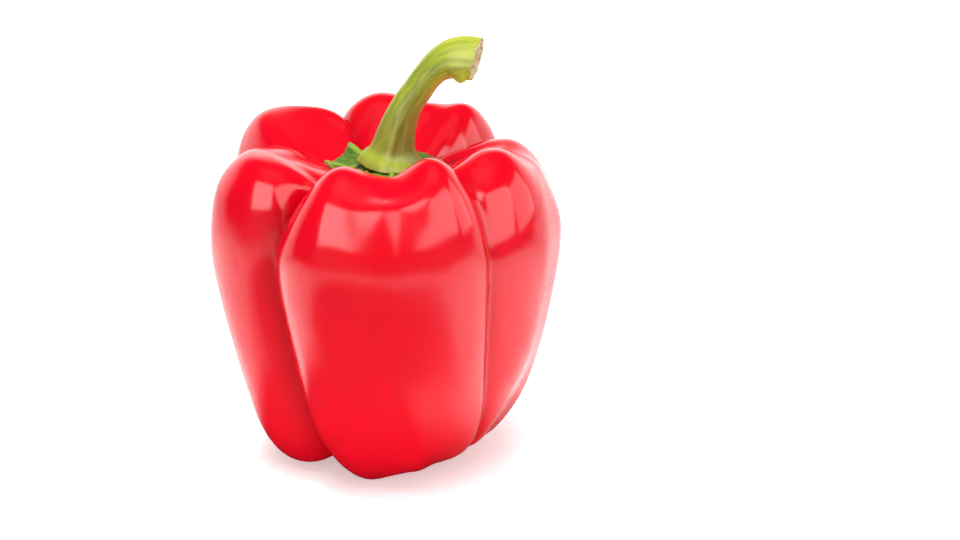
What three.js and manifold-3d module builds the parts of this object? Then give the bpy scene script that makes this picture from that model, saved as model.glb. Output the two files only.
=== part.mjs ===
// A red bell pepper that stands on the tips of its lobes: the fruit, its green star calyx and its stem.
// Millimetres, +Z up, front towards -Y. The origin is the centre of the whole outline seen from above, at
// the height of the surface that the pepper stands on.
import * as THREE from "three";
import { mergeVertices } from "three/addons/utils/BufferGeometryUtils.js";
import Module from "manifold-3d";

const wasm = await Module();
wasm.setup();

// ---------------------------------------------------------------- driving dimensions

const GAP = 0.3; // clear space between pieces that touch
const FOOT_TRIM = 0.9; // height taken off the lowest tips: the flat spots that the pepper rests on

// A lobe's outline as [distance from the axis, height]: from the hollow under the base, down to the foot,
// up the flank, over the shoulder and down to the seat of the calyx.
const LOBE_OUTLINE = [
  [0, 10],
  [7, 9],
  [13.5, 3.8],
  [20, 0],
  [26.5, 1.6],
  [31.8, 9],
  [36, 22],
  [39.6, 38],
  [42.3, 55],
  [42.4, 67],
  [39.4, 77.5],
  [33, 84.6],
  [26.5, 85.2],
  [20.5, 81.2],
  [14.5, 76.6],
  [7, 74.2],
  [0, 74],
];

// The folds between the lobes, and the soft dips down their middles. at: degrees from +X towards +Y. lean and
// turn: degrees that it has swung by the foot and by the shoulder. rise: how far the crest stands up there.
// shoulder, brow (just under the shoulder), waist, flank and foot: how deep it is there. round: 0 is a sharp
// crease, 3 a soft dip.
const FOLDS = [
  // left and front lobes
  {
    at: -137, lean: 12, turn: 6, rise: -2,
    shoulder: 13, brow: 11, waist: 9, flank: 8, foot: 10, round: 0.1,
  },
  // middle of the front
  {
    at: -84, lean: 12, turn: 0, rise: 0,
    shoulder: 4.2, brow: 1.4, waist: 0.9, flank: 0.5, foot: 3.5, round: 3,
  },
  // front and right lobes
  {
    at: -47, lean: 20, turn: 0, rise: -0.4,
    shoulder: 7.5, brow: 6, waist: 4.5, flank: 4, foot: 7, round: 0.15,
  },
  // middle of the right
  {
    at: 0, lean: 6, turn: 0, rise: -3.6,
    shoulder: 2.8, brow: 0.2, waist: -1.2, flank: -1, foot: 2, round: 3,
  },
  // right and back lobes
  {
    at: 33, lean: 0, turn: 0, rise: -3.5,
    shoulder: 9, brow: 8, waist: 6, flank: 6, foot: 9, round: 0.12,
  },
  // middle of the back
  {
    at: 72, lean: 0, turn: 0, rise: 0,
    shoulder: 2.2, brow: 1.9, waist: 1.8, flank: 1, foot: 3, round: 3,
  },
  // back and back-left lobes
  {
    at: 113, lean: 0, turn: 0, rise: 0,
    shoulder: 7, brow: 6.8, waist: 6.5, flank: 6, foot: 9, round: 0.08,
  },
  // back-left and left lobes
  {
    at: 167, lean: 3, turn: 0, rise: -2.8,
    shoulder: 4.5, brow: 4.6, waist: 5, flank: 5, foot: 8, round: 0.3,
  },
];

// What each half lobe adds to the outline, from its fold to the next one. reach: outwards at the waist. rise:
// up at the crest. flare: out at the shoulder. lift and splay: up and out at the foot.
const SWELLS = [
  { reach: 0, rise: -0.8, flare: 0, lift: 0.4, splay: -3.5 }, // front, left half
  { reach: 0, rise: 1.2, flare: 0, lift: 3, splay: -4 }, // front, right half
  { reach: 0.4, rise: -1.3, flare: 0, lift: 3, splay: -4 }, // right, front half
  { reach: 0.8, rise: -5.6, flare: 0.9, lift: 0.2, splay: -1.5 }, // right, back half
  { reach: -1, rise: -0.8, flare: 2, lift: 0.5, splay: -4 }, // back, right half
  { reach: 0, rise: 0.2, flare: 0, lift: 0, splay: 0 }, // back, left half
  { reach: 3.2, rise: -2.2, flare: 4, lift: 0.3, splay: 0 }, // back-left
  { reach: 0.4, rise: -3.4, flare: 2.4, lift: 1.2, splay: 0.5 }, // left
];

const SWELL_BOW = 0.95; // how round a half lobe is across, towards 1 for a half circle
const COLUMNS_PER_SWELL = 11;
const RINGS_PER_SPAN = 2; // rings of the mesh in each span of the outline

const STALK_CENTRE = new THREE.Vector2(2, 0); // the calyx and the stem grow a little to the right of the axis
const CALYX_THICKNESS = 1.2;
// The calyx's points, clockwise. notch: its radius between a point and the next one.
const CALYX_TIPS = [
  { at: 182, reach: 16.8, notch: 14.3 },
  { at: 131, reach: 16.8, notch: 11.5 },
  { at: 86, reach: 15, notch: 11 },
  { at: -6, reach: 13, notch: 11 },
  { at: -42, reach: 15, notch: 11.5 },
  { at: -88, reach: 14.5, notch: 11.5 },
  { at: -134, reach: 15, notch: 11.5 },
];
const CALYX_TIP_SHARPNESS = 1.7;
const CALYX_COLUMNS = 84;
const CALYX_RINGS = 5;
const BOSS_RADIUS = 8.6; // the calyx is thick and flat in the middle, under the stem
const BOSS_SLOPE = 1.1;

const STEM_PATH = [
  [2, 0, 77.2],
  [2.4, -0.1, 80],
  [3.1, -0.4, 83.5],
  [4.4, -0.8, 88.6],
  [6.4, -1.2, 93],
  [8.5, -1.6, 96.2],
  [10.7, -2, 99.6],
  [13.7, -2.5, 102.8],
  [17.1, -3, 104.6],
  [20.4, -3.5, 105],
  [23, -4, 104.8],
];
// The stem's radius as [share of its length, radius]: flared where it grows on, slim, and swollen at the cut.
const STEM_RADII = [
  [0, 8.3],
  [0.035, 7.5],
  [0.07, 6.1],
  [0.11, 5.35],
  [0.16, 4.9],
  [0.24, 4.4],
  [0.34, 3.95],
  [0.46, 3.6],
  [0.6, 3.55],
  [0.7, 3.75],
  [0.78, 4.3],
  [0.86, 4.95],
  [0.93, 5.25],
  [1, 5.1],
];
const STEM_RIBS = 5;
const STEM_RIB_HEIGHT = 0.07; // share of the radius
const STEM_SIDES = 20;
const STEM_STEPS = 26;

const SKIN = new THREE.MeshStandardMaterial({ color: 0xd80a1c, roughness: 0.25, metalness: 0 });
const CALYX_GREEN = new THREE.MeshStandardMaterial({ color: 0x5b6b1d, roughness: 0.6, metalness: 0 });
const STEM_GREEN = new THREE.MeshStandardMaterial({ color: 0x98993a, roughness: 0.5, metalness: 0 });

// ---------------------------------------------------------------- small helpers

const { clamp, degToRad, lerp, smoothstep } = THREE.MathUtils;

// smoothstep that also runs downwards, when from is more than to.
function ease(x, from, to) {
  return from < to ? smoothstep(x, from, to) : 1 - smoothstep(x, to, from);
}

// A value from a rising list of [place, value] keys, eased or straight between them.
function keyed(x, keys, eased = true) {
  let i = 0;
  while (i < keys.length - 2 && x > keys[i + 1][0]) i += 1;
  const [[x0, v0], [x1, v1]] = [keys[i], keys[i + 1]];
  const t = clamp((x - x0) / (x1 - x0), 0, 1);
  return lerp(v0, v1, eased ? t * t * (3 - 2 * t) : t);
}

// The closed solid of a geometry whose seams are merged.
function solidOf(geometry) {
  geometry.deleteAttribute("normal");
  geometry.deleteAttribute("uv");
  const merged = mergeVertices(geometry, 1e-4);
  const vertProperties = new Float32Array(merged.attributes.position.array);
  const triVerts = new Uint32Array(merged.index.array);
  return new wasm.Manifold(new wasm.Mesh({ numProp: 3, vertProperties, triVerts }));
}

// The geometry of a solid.
function geometryOf(solid) {
  const { vertProperties, triVerts } = solid.getMesh();
  const geometry = new THREE.BufferGeometry();
  geometry.setAttribute("position", new THREE.BufferAttribute(vertProperties, 3));
  geometry.setIndex(new THREE.BufferAttribute(triVerts, 1));
  geometry.computeVertexNormals();
  return geometry;
}

// Moves every vertex of a lathed geometry to place(column, row), which gives [x, y, z].
function moveLathed(geometry, columns, rows, place) {
  const position = geometry.attributes.position;
  for (let column = 0; column <= columns; column += 1) {
    for (let row = 0; row < rows; row += 1) {
      position.setXYZ(column * rows + row, ...place(column % columns, row));
    }
  }
  return geometry;
}

// ---------------------------------------------------------------- fruit

// The lobe outline as a smooth line of points, each with its share of the way along it.
function outlinePoints() {
  const points = LOBE_OUTLINE.map(([r, z]) => new THREE.Vector2(r, z));
  const mirrored = (p) => new THREE.Vector2(-p.x, p.y);
  const curve = new THREE.SplineCurve([mirrored(points[1]), ...points, mirrored(points.at(-2))]);
  const spans = points.length + 1;
  const line = [];
  for (let i = RINGS_PER_SPAN; i <= (spans - 1) * RINGS_PER_SPAN; i += 1) {
    const p = curve.getPoint(i / RINGS_PER_SPAN / spans);
    line.push({ r: Math.max(p.x, 0), z: p.y });
  }
  line[0].r = 0;
  line.at(-1).r = 0;
  let length = 0;
  line.forEach((p, i) => {
    length += i ? Math.hypot(p.r - line[i - 1].r, p.z - line[i - 1].z) : 0;
    p.along = length;
  });
  line.forEach((p) => (p.along /= length));
  return line;
}

const outline = outlinePoints();

// Where the foot, the waist and the shoulder's top are, as shares of the way along the outline.
const footAt = outline.reduce((a, b) => (b.z < a.z ? b : a)).along;
const waistAt = outline.reduce((a, b) => (b.r > a.r ? b : a)).along;
const shoulderAt = outline.reduce((a, b) => (b.z > a.z ? b : a)).along;

// How deep a fold is, as keys along the outline. It fades out under the calyx.
function foldDepths(fold) {
  return [
    [0, 0],
    [footAt * 0.45, fold.foot * 0.55],
    [footAt, fold.foot],
    [lerp(footAt, waistAt, 0.42), fold.flank],
    [waistAt, fold.waist],
    [lerp(waistAt, shoulderAt, 0.6), fold.brow],
    [shoulderAt - 0.01, fold.shoulder],
    [shoulderAt + 0.045, fold.shoulder],
    [shoulderAt + 0.13, fold.shoulder * 0.25],
    [1, 0],
  ];
}

// Where a fold is at a place on the outline, in degrees.
function foldAngle(fold, along) {
  const low = clamp((waistAt - along) / (waistAt - footAt), 0, 1.25) ** 1.8;
  return fold.at + fold.lean * low + fold.turn * ease(along, waistAt, shoulderAt);
}

// The bow of a half lobe: 0 on its crown, 1 in its folds.
function bow(x) {
  return (1 - Math.sqrt(1 - (SWELL_BOW * x) ** 2)) / (1 - Math.sqrt(1 - SWELL_BOW ** 2));
}

// The point of the skin on outline point p, at side from -1 in the half lobe's first fold to 1 in its next.
function skinPoint(p, index, side) {
  const first = FOLDS[index];
  const next = FOLDS[(index + 1) % FOLDS.length];
  const swell = SWELLS[index];
  const start = foldAngle(first, p.along);
  let end = foldAngle(next, p.along);
  if (end < start) end += 360;
  const angle = degToRad(lerp(start, end, (side + 1) / 2));

  // The skin sinks from the outline towards a line inside the fruit.
  const inward = new THREE.Vector2(Math.min(p.r * 0.45, 10) - p.r, 24 + p.z * 0.44 - p.z).normalize();
  const firstDepth = keyed(p.along, foldDepths(first));
  const nextDepth = keyed(p.along, foldDepths(next));
  const share = ease(side, -1, 1);
  const edge = 1 - Math.abs(side);
  const round = lerp(first.round, next.round, share);
  const rounded = (edge * edge * (1 + round)) / (edge + round + 1e-9);
  const sunk = lerp(firstDepth, nextDepth, share) * bow(1 - rounded);

  const crown = (1 - side * side) ** 2;
  const outside = ease(p.along, shoulderAt + 0.125, shoulderAt);
  const atCrest = ease(p.along, (footAt + waistAt) / 2, shoulderAt) * outside;
  const atShoulder = ease(p.along, waistAt, shoulderAt) * outside;
  const atWaist = ease(p.along, footAt, waistAt) * ease(p.along, shoulderAt + 0.1, shoulderAt);
  const atFoot = ease(p.along, waistAt * 0.75, footAt) * ease(p.along, 0, footAt);
  const out = swell.reach * atWaist + swell.flare * atShoulder + swell.splay * atFoot;
  const level = lerp(first.rise, next.rise, share);
  const up = lerp(level, swell.rise, crown) * atCrest + crown * swell.lift * atFoot;
  const r = p.r ? p.r + inward.x * sunk + crown * out : 0;
  const z = p.z + inward.y * sunk + up;
  return [r * Math.cos(angle), r * Math.sin(angle), z];
}

// The whole fruit: the outline lathed round, with every column of the mesh running along a half lobe, and the
// lowest tips cut off flat.
function fruitGeometry() {
  const columns = FOLDS.length * COLUMNS_PER_SWELL;
  const profile = outline.map((p) => new THREE.Vector2(p.r, p.z));
  const lathed = new THREE.LatheGeometry(profile, columns);
  const whole = moveLathed(lathed, columns, outline.length, (column, row) => {
    const side = ((column % COLUMNS_PER_SWELL) / COLUMNS_PER_SWELL) * 2 - 1;
    const crowded = side * (1.25 - 0.25 * side * side); // columns stand closer near the folds
    return skinPoint(outline[row], Math.floor(column / COLUMNS_PER_SWELL), crowded);
  });
  const slab = new THREE.BoxGeometry(200, 200, 50);
  slab.translate(0, 0, FOOT_TRIM - 25);
  return geometryOf(solidOf(whole).subtract(solidOf(slab)));
}

// ---------------------------------------------------------------- calyx

// The height of the seat inside the shoulders, at a distance from the fruit's axis.
function seatHeight(distance) {
  const inner = outline.filter((p) => p.along >= shoulderAt).reverse();
  return keyed(
    distance,
    inner.map((p) => [p.r, p.z]),
    false,
  );
}

// The calyx's outline: points at the tips with hollow arcs between them.
function calyxRadius(degrees) {
  for (let i = 0; i < CALYX_TIPS.length; i += 1) {
    const tip = CALYX_TIPS[i];
    const next = CALYX_TIPS[(i + 1) % CALYX_TIPS.length];
    const width = (tip.at - next.at + 360) % 360;
    const past = (tip.at - degrees + 720) % 360;
    if (past <= width) {
      const side = (past / width) * 2 - 1;
      const reach = side < 0 ? tip.reach : next.reach;
      return lerp(tip.notch, reach, Math.abs(side) ** CALYX_TIP_SHARPNESS);
    }
  }
  return CALYX_TIPS[0].reach;
}

// The flat top of the calyx's middle, which the stem stands on.
const bossTop = seatHeight(BOSS_RADIUS + STALK_CENTRE.length()) + GAP + CALYX_THICKNESS;

// A star-shaped plate that follows the seat, its underside GAP above the fruit.
function calyxGeometry() {
  const shares = Array.from({ length: CALYX_RINGS + 1 }, (_, i) => i / CALYX_RINGS);
  const under = shares.map((share) => ({ share, top: false }));
  const over = shares.map((share) => ({ share, top: true })).reverse();
  const rows = [...under, ...over];
  const lathed = new THREE.LatheGeometry(
    rows.map((row) => new THREE.Vector2(row.share, row.top ? 1 : 0)),
    CALYX_COLUMNS,
  );
  return moveLathed(lathed, CALYX_COLUMNS, rows.length, (column, index) => {
    const row = rows[index];
    const degrees = (column / CALYX_COLUMNS) * 360;
    const reach = row.share * calyxRadius(degrees);
    const x = STALK_CENTRE.x + reach * Math.cos(degToRad(degrees));
    const y = STALK_CENTRE.y + reach * Math.sin(degToRad(degrees));
    const bottom = seatHeight(Math.hypot(x, y)) + GAP;
    const boss = bossTop - Math.max(reach - BOSS_RADIUS, 0) * BOSS_SLOPE;
    return [x, y, row.top ? Math.max(bottom + CALYX_THICKNESS, boss) : bottom];
  });
}

// ---------------------------------------------------------------- stem

// A cylinder bent along the stem's path, with ribs along it, a flat foot and a swollen cut end.
function stemGeometry() {
  const path = new THREE.CatmullRomCurve3(STEM_PATH.map((p) => new THREE.Vector3(...p)));
  const frames = path.computeFrenetFrames(STEM_STEPS);
  const cylinder = new THREE.CylinderGeometry(1, 1, 1, STEM_SIDES, STEM_STEPS);
  const position = cylinder.attributes.position;
  const spot = new THREE.Vector3();
  for (let i = 0; i < position.count; i += 1) {
    spot.fromBufferAttribute(position, i);
    const step = Math.round((spot.y + 0.5) * STEM_STEPS);
    const along = step / STEM_STEPS;
    const round = Math.atan2(spot.z, spot.x);
    const rib = 1 + STEM_RIB_HEIGHT * Math.cos(STEM_RIBS * round);
    const radius = keyed(along, STEM_RADII, false) * rib * Math.hypot(spot.x, spot.z);
    const point = path.getPointAt(along);
    point.addScaledVector(frames.normals[step], -radius * Math.cos(round));
    point.addScaledVector(frames.binormals[step], radius * Math.sin(round));
    if (step === 0) point.z = bossTop + GAP;
    position.setXYZ(i, point.x, point.y, point.z);
  }
  return cylinder;
}

// ---------------------------------------------------------------- assembly

function namedMesh(name, geometry, material) {
  const mesh = new THREE.Mesh(geometry, material);
  mesh.name = name;
  return mesh;
}

// All the pieces, with the middle of their outline over the origin and the flat spots at height 0.
function bellPepper() {
  const pepper = new THREE.Group();
  pepper.add(namedMesh("fruit", fruitGeometry(), SKIN));
  pepper.add(namedMesh("calyx", calyxGeometry(), CALYX_GREEN));
  pepper.add(namedMesh("stem", stemGeometry(), STEM_GREEN));
  const box = new THREE.Box3().setFromObject(pepper);
  const middle = box.getCenter(new THREE.Vector3());
  pepper.position.set(-middle.x, -middle.y, -FOOT_TRIM);
  const whole = new THREE.Group();
  whole.add(pepper);
  return whole;
}

export default bellPepper();
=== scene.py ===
"""A red bell pepper on a pale studio floor: glossy lobed fruit, leafy calyx and curved cut stem.

Lengths in the pepper's own classes are in millimetres, in its own frame: the fruit's axis stands at x = y = 0
and its outline's foot is at z = 0. `Placement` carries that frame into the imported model's, in metres. The
lights and the paper are in metres.
"""

import logging
import math
from dataclasses import dataclass
from enum import Enum

import bpy
import numpy as np
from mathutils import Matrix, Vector, noise


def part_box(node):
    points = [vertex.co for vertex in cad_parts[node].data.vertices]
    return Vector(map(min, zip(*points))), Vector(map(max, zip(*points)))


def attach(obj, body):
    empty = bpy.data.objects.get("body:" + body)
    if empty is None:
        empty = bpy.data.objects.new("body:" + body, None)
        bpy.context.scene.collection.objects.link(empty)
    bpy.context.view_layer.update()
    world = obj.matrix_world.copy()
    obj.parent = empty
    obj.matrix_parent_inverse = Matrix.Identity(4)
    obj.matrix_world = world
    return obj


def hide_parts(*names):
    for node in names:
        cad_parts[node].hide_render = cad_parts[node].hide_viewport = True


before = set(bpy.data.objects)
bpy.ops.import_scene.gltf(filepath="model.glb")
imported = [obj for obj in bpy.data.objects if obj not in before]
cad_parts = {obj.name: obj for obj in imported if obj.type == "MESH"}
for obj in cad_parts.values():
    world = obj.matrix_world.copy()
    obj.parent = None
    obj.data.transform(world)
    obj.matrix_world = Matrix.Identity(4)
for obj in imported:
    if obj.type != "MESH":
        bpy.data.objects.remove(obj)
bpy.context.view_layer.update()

log = logging.getLogger("bell_pepper")

Tree = bpy.types.NodeTree
Socket = bpy.types.NodeSocket
Point = tuple[float, float, float]

MM = 0.001
GAP = 0.3  # between the fruit and the calyx, in millimetres
WHITE = "#ffffff"
BLACK = "#000000"
SMOOTH = {"interpolation_type": "SMOOTHSTEP"}  # makes a Map Range node ease from 0 to 1
COLOURS = {"data_type": "RGBA"}  # makes a Mix node mix colours


class Node(Enum):
    """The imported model's nodes that the pieces here stand for."""

    FRUIT = "fruit"
    CALYX = "calyx"
    STEM = "stem"


class Slot(Enum):
    """The record's material slots."""

    SKIN = "skin"
    CALYX = "calyx"
    STEM = "stem"


# -------------------- numbers and curves


def linear(hex_colour: str) -> tuple[float, float, float, float]:
    """Turns an sRGB hex colour into linear light.

    Args:
        hex_colour: six hex digits after a hash sign.

    Returns:
        Red, green, blue and an alpha of 1.
    """
    shares = [int(hex_colour[i : i + 2], 16) / 255 for i in (1, 3, 5)]
    light = [c / 12.92 if c <= 0.04045 else ((c + 0.055) / 1.055) ** 2.4 for c in shares]
    return (light[0], light[1], light[2], 1.0)


def ease(x: np.ndarray | float, start: float, end: float) -> np.ndarray:
    """Smooth step from 0 at start to 1 at end, which may lie below start.

    Args:
        x: where to read the step.
        start: where the step leaves 0.
        end: where the step reaches 1.

    Returns:
        The step's height at each x.
    """
    t = np.clip((np.asarray(x, float) - start) / (end - start), 0, 1)
    return t * t * (3 - 2 * t)


def keyed(x: np.ndarray, keys: list[tuple[float, float]]) -> np.ndarray:
    """Reads a value from rising (place, value) keys, eased between them.

    Args:
        x: the places to read.
        keys: the keys, in rising order of place.

    Returns:
        The value at each place.
    """
    places = np.array([k[0] for k in keys])
    values = np.array([k[1] for k in keys])
    x = np.asarray(x, float)
    i = np.clip(np.searchsorted(places, x) - 1, 0, len(keys) - 2)
    t = np.clip((x - places[i]) / (places[i + 1] - places[i]), 0, 1)
    t = t * t * (3 - 2 * t)
    return values[i] * (1 - t) + values[i + 1] * t


def catmull_rom(points: np.ndarray, before: np.ndarray, after: np.ndarray, count: int) -> np.ndarray:
    """A smooth line through points, read at even steps of its length.

    Args:
        points: the points, one a row.
        before: the point that sets the line's direction at its start.
        after: the point that sets its direction at its end.
        count: how many points to return.

    Returns:
        The points of the line, one a row.
    """
    fine = 60
    p = np.vstack([before, points, after])
    t = np.linspace(0, 1, fine, endpoint=False)[:, None]
    spans = []
    for a, b, c, d in zip(p[:-3], p[1:-2], p[2:-1], p[3:]):
        curve = 2 * b + (c - a) * t + (2 * a - 5 * b + 4 * c - d) * t**2 + (3 * b - a - 3 * c + d) * t**3
        spans.append(curve / 2)
    line = np.vstack([*spans, points[-1]])
    length = np.concatenate([[0], np.cumsum(np.linalg.norm(np.diff(line, axis=0), axis=1))])
    even = np.linspace(0, length[-1], count)
    return np.stack([np.interp(even, length, line[:, k]) for k in range(line.shape[1])], axis=1)


def lumps(points: np.ndarray, size: float, offset: float) -> np.ndarray:
    """Smooth solid noise at each point, about -1 to 1.

    Args:
        points: points in millimetres, with the last axis x, y and z.
        size: how wide a lump is, in millimetres. Three sizes stretch the lumps.
        offset: moves the pattern, so that two layers differ.

    Returns:
        The noise, in the shape of points without its last axis.
    """
    flat = (np.asarray(points) / size + offset).reshape(-1, 3)
    values = np.array([noise.noise(p) for p in flat.tolist()])
    return values.reshape(points.shape[:-1])


def grid_normals(grid: np.ndarray) -> np.ndarray:
    """Unit normals of a closed band of points, pointing away from its middle.

    Args:
        grid: rows by columns by 3, with the columns running round.

    Returns:
        One normal for each point.
    """
    along = np.gradient(grid, axis=0)
    around = np.roll(grid, -1, axis=1) - np.roll(grid, 1, axis=1)
    normal = np.cross(around, along)
    return normal / np.maximum(np.linalg.norm(normal, axis=-1, keepdims=True), 1e-9)


# -------------------- meshes and nodes


@dataclass
class Placement:
    """Carries points from the pepper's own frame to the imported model's.

    Attributes:
        shift: what to add to a point, in millimetres.
    """

    shift: np.ndarray

    @classmethod
    def from_fruit(cls, grid: np.ndarray, trim: float) -> "Placement":
        """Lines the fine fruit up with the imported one.

        Args:
            grid: the fine fruit's points.
            trim: the height that is flat under the lobe tips.

        Returns:
            The placement.
        """
        low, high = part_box(Node.FRUIT.value)
        middle = (np.array(low) + np.array(high)) / 2 / MM
        own = (grid.reshape(-1, 3).min(0) + grid.reshape(-1, 3).max(0)) / 2
        return cls(np.array([middle[0] - own[0], middle[1] - own[1], low.z / MM - trim]))

    def metres(self, points: np.ndarray) -> np.ndarray:
        """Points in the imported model's frame, in metres."""
        return (np.asarray(points) + self.shift) * MM


def flatten(grid: np.ndarray) -> np.ndarray:
    """A grid's points as a list, with its first and its last row each drawn into one point."""
    inner = grid[1:-1].reshape(-1, *grid.shape[2:])
    return np.concatenate([grid[:1].mean(1), inner, grid[-1:].mean(1)])


def grid_faces(rows: int, columns: int) -> list[tuple[int, ...]]:
    """The faces of a flattened grid that is closed round and at both ends.

    Args:
        rows: the grid's rows, the two end points among them.
        columns: the grid's columns.

    Returns:
        The corner numbers of each face, anticlockwise from outside.
    """
    last = (rows - 2) * columns + 1
    faces: list[tuple[int, ...]] = []
    for j in range(columns):
        k = (j + 1) % columns
        faces.append((0, 1 + k, 1 + j))
        for i in range(rows - 3):
            low, high = 1 + i * columns, 1 + (i + 1) * columns
            faces.append((low + j, low + k, high + k, high + j))
        faces.append((last - columns + j, last - columns + k, last))
    return faces


def build_piece(
    name: str, grid: np.ndarray, place: Placement, paint: dict[str, np.ndarray], node: Node
) -> bpy.types.Object:
    """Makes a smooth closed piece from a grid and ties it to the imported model.

    Args:
        name: the piece's name.
        grid: rows by columns by 3, in the pepper's own millimetres.
        place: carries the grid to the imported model's frame.
        paint: named values for each point of the grid, for the materials to read.
        node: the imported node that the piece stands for.

    Returns:
        The new object.
    """
    rows, columns = grid.shape[:2]
    mesh = bpy.data.meshes.new(name)
    mesh.from_pydata(place.metres(flatten(grid)).tolist(), [], grid_faces(rows, columns))
    mesh.polygons.foreach_set("use_smooth", [True] * len(mesh.polygons))
    for key, values in paint.items():
        flat = flatten(values).astype(np.float32)
        kind = "FLOAT" if flat.ndim == 1 else "FLOAT_VECTOR"
        attribute = mesh.attributes.new(key, kind, "POINT")
        attribute.data.foreach_set("value" if flat.ndim == 1 else "vector", flat.ravel())
    mesh.update()
    piece = bpy.data.objects.new(name, mesh)
    bpy.context.scene.collection.objects.link(piece)
    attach(piece, "root")
    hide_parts(node.value)
    log.info("%s: %d points, %d faces", name, len(mesh.vertices), len(mesh.polygons))
    return piece


def add_node(tree: Tree, kind: str, settings: dict) -> bpy.types.Node:
    """Adds a shader node with its settings and its incoming links.

    Args:
        tree: the node tree.
        kind: the node's type, without "ShaderNode" in front.
        settings: what to set, by property name, or by the name or number of an input. An input takes a
            value, a hex colour or an output socket to link to it.

    Returns:
        The new node.
    """
    node = tree.nodes.new("ShaderNode" + kind)
    for key, value in settings.items():
        if isinstance(key, str) and hasattr(node, key):
            setattr(node, key, value)
        elif isinstance(value, Socket):
            tree.links.new(value, node.inputs[key])
        else:
            node.inputs[key].default_value = linear(value) if isinstance(value, str) else value
    return node


def laid_over(
    tree: Tree, below: Socket | str, colour: str, where: Socket, low: float, high: float, strength: float
) -> Socket:
    """Lays a colour over another one where a value is high.

    Args:
        tree: the node tree.
        below: the colour below, as a socket or in hex.
        colour: the colour laid over it, in hex.
        where: the value that says where it shows.
        low: the value up to which none of it shows.
        high: the value from which it shows most.
        strength: how much of it shows there, from 0 to 1.

    Returns:
        The resulting colour's socket.
    """
    share = add_node(tree, "MapRange", {**SMOOTH, 0: where, 1: low, 2: high, 4: strength}).outputs[0]
    return add_node(tree, "Mix", {**COLOURS, 0: share, 6: below, 7: colour}).outputs[2]


def noise_scale(size: float) -> float:
    """The scale of a noise texture whose lumps are size millimetres wide."""
    return 1 / (size * MM)


# -------------------- finishes


class Finish:
    """A procedural material with one Principled shader."""

    name: str

    def surface(self, tree: Tree) -> dict:
        """What to set on the shader and to link to it, by the name of its input."""
        raise NotImplementedError

    def material(self) -> bpy.types.Material:
        """Makes the material."""
        material = bpy.data.materials.new(self.name)
        material.use_nodes = True
        tree = material.node_tree
        tree.nodes.clear()
        shader = add_node(tree, "BsdfPrincipled", self.surface(tree))
        add_node(tree, "OutputMaterial", {"Surface": shader.outputs[0]})
        return material


@dataclass(frozen=True)
class PepperSkin(Finish):
    """Ripe sweet pepper skin: taut red flesh under its own clear wax, as grown.

    The colour is a full red, with painted shade that darkens it in the folds, where shade falls. The wax over
    it is smooth and mirror-like, with a faint unevenness that softens the edges of what it reflects.
    """

    name: str = "pepper_skin_waxy_red"
    flesh: str = "#b80015"
    deep_flesh_and_crease_shade: str = "#9c0012"
    warm_flesh: str = "#bc030e"
    mark_brown: str = "#a8581e"
    scar_tan: str = "#b98a52"
    mottle_size: float = 16.0  # patches of riper and less ripe flesh
    cell_size: float = 0.9  # groups of skin cells, drawn coarser than the real 0.1 mm so that they show
    wave_size: float = 7.0  # the slow unevenness of the wax
    peel_height: float = 0.02  # how far the groups of cells stand up

    def surface(self, tree: Tree) -> dict:
        """The skin's shading, which reads the mesh's crease, mark and scar values."""
        place = add_node(tree, "TexCoord", {}).outputs["Object"]
        reads = [add_node(tree, "Attribute", {"attribute_name": n}) for n in ("crease", "mark", "scar")]
        crease, mark, scar = (read.outputs["Fac"] for read in reads)
        mottle = {"Vector": place, "Scale": noise_scale(self.mottle_size)}
        ripeness = add_node(tree, "TexNoise", mottle).outputs["Fac"]
        grain = {"Vector": place, "Scale": noise_scale(self.cell_size), "Detail": 1.0}
        cells = add_node(tree, "TexNoise", grain).outputs["Fac"]
        unevenness = {"Vector": place, "Scale": noise_scale(self.wave_size), "Detail": 1.0}
        waves = add_node(tree, "TexNoise", unevenness).outputs["Fac"]

        colour = laid_over(tree, self.flesh, self.warm_flesh, ripeness, 0.45, 0.75, 0.55)
        colour = laid_over(tree, colour, self.deep_flesh_and_crease_shade, cells, 0.2, 0.8, 0.2)
        # Painted shade: the flesh is darkened in the creases between the lobes, where shade falls.
        colour = laid_over(tree, colour, self.deep_flesh_and_crease_shade, crease, 0.0, 1.0, 0.6)
        for share, tint in ((mark, self.mark_brown), (scar, self.scar_tan)):
            colour = add_node(tree, "Mix", {**COLOURS, 0: share, 6: colour, 7: tint}).outputs[2]
        peel = {"Strength": 0.08, "Distance": self.peel_height * MM, "Height": cells}
        normal = add_node(tree, "Bump", peel).outputs[0]
        return {
            "Base Color": colour,
            "Roughness": add_node(tree, "MapRange", {**SMOOTH, 0: waves, 3: 0.3, 4: 0.45}).outputs[0],
            "IOR": 1.36,
            "Specular IOR Level": 0.0,
            "Coat Weight": 1.0,
            "Coat Roughness": 0.14,
            "Coat IOR": 1.38,
            "Normal": normal,
            "Coat Normal": normal,
        }


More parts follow.
